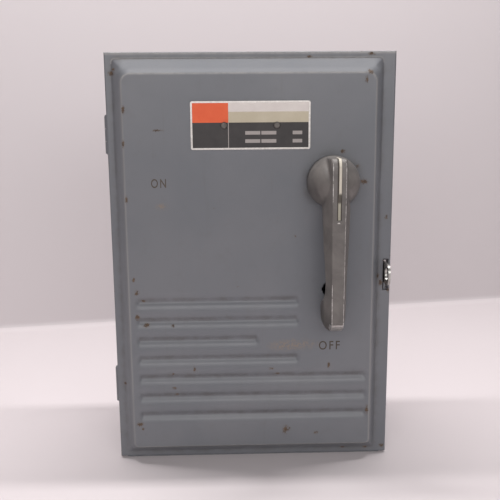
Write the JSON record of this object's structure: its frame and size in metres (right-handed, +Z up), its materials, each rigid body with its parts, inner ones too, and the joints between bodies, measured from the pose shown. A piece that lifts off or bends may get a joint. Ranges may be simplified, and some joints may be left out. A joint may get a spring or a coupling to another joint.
{
  "type": "ac disconnect box",
  "caption": "Wall-mounted sheet steel disconnect switch with a pressed, hinged door, a rotary lever handle, a padlock hasp and fused switchgear inside.",
  "frame": {"origin": "middle of the case's bottom face", "axes": "+X right, +Y back towards the wall, +Z up, seen by a person facing the door"},
  "size_m": [0.2277, 0.1555, 0.333],
  "materials": {
    "enamel": "semi-gloss enamel, weathered",
    "hinge_steel": "semi-gloss enamel, worn",
    "zinc_steel": "zinc plated",
    "moulding": "moulded phenolic",
    "fibre": "vulcanised fibre",
    "copper": "bare copper",
    "brass": "bare brass",
    "plated_lug": "tin plated",
    "cast_aluminium": "painted die casting, worn to the metal at the edges",
    "plate_aluminium": "satin",
    "pointer_paint": "cream paint, dirty",
    "card": "matt"
  },
  "bodies": {
    "case": {"enclosure_body": "enamel", "knockout_discs": "enamel", "hinge_case_leaves": "hinge_steel", "hinge_pins": "hinge_steel", "padlock_hasp": "zinc_steel", "hasp_rivets": "zinc_steel", "mounting_pan": "zinc_steel", "pan_spacers": "zinc_steel", "pan_screws": "zinc_steel", "line_base": "moulding", "fuse_base": "moulding", "base_screws": "zinc_steel", "line_barriers": "fibre", "fuse_barriers": "fibre", "line_shield": "fibre", "line_jaws": "copper", "fuse_jaws": "copper", "line_lugs": "plated_lug", "load_lugs": "plated_lug", "lug_screws": "brass", "upper_fuse_clips": "copper", "lower_fuse_clips": "copper", "fuse_tubes": "fibre", "fuse_ferrules": "brass", "mechanism_bracket": "zinc_steel", "bearing_bracket": "zinc_steel", "bracket_screws": "zinc_steel", "rotor_bushes": "brass", "guide_studs": "zinc_steel", "opening_spring": "zinc_steel", "interlock_keeper": "zinc_steel", "keeper_rivets": "zinc_steel", "ground_bar": "brass", "ground_screws": "zinc_steel"},
    "slide": {"slide_plate": "zinc_steel", "slide_yoke": "zinc_steel"},
    "rotor": {"rotor_bar": "moulding", "moving_blades": "copper", "rotor_crank": "zinc_steel", "crank_pin": "zinc_steel"},
    "door": {"door_cover": "enamel", "hinge_door_leaves": "hinge_steel", "nameplate": "plate_aluminium", "nameplate_rivets": "plate_aluminium", "shaft_bushing": "brass", "bushing_nut": "zinc_steel", "wiring_card": "card"},
    "handle": {"operating_handle": "cast_aluminium", "pointer_inlay": "pointer_paint", "handle_shaft": "zinc_steel", "hub_pin": "zinc_steel", "retaining_ring": "zinc_steel", "drive_crank": "zinc_steel", "drive_pin": "zinc_steel", "interlock_hook": "zinc_steel"}
  },
  "joints": [
    {"name": "door_hinge", "type": "hinge", "parent": "case", "child": "door", "pos_m": [-0.1126, -0.047, 0.16], "axis": [0, 0, -1], "range_deg": [0, 120]},
    {"name": "handle_turn", "type": "hinge", "parent": "door", "child": "handle", "pos_m": [0.0625, -0.08, 0.234], "axis": [0, 1, 0], "range_deg": [0, 90]},
    {"name": "slide_travel", "type": "slide", "parent": "case", "child": "slide", "axis": [0, 0, 1], "range_m": [0, 0.0283], "deforming": ["opening_spring"]},
    {"name": "rotor_turn", "type": "hinge", "parent": "case", "child": "rotor", "pos_m": [0, 0.008, 0.172], "axis": [-1, 0, 0], "range_deg": [0, 70]}
  ],
  "couplings": [
    {"joint": "slide_travel", "follows": "handle_turn", "m_per_rad": 0.018},
    {"joint": "rotor_turn", "follows": "handle_turn", "ratio": 0.7777}
  ]
}
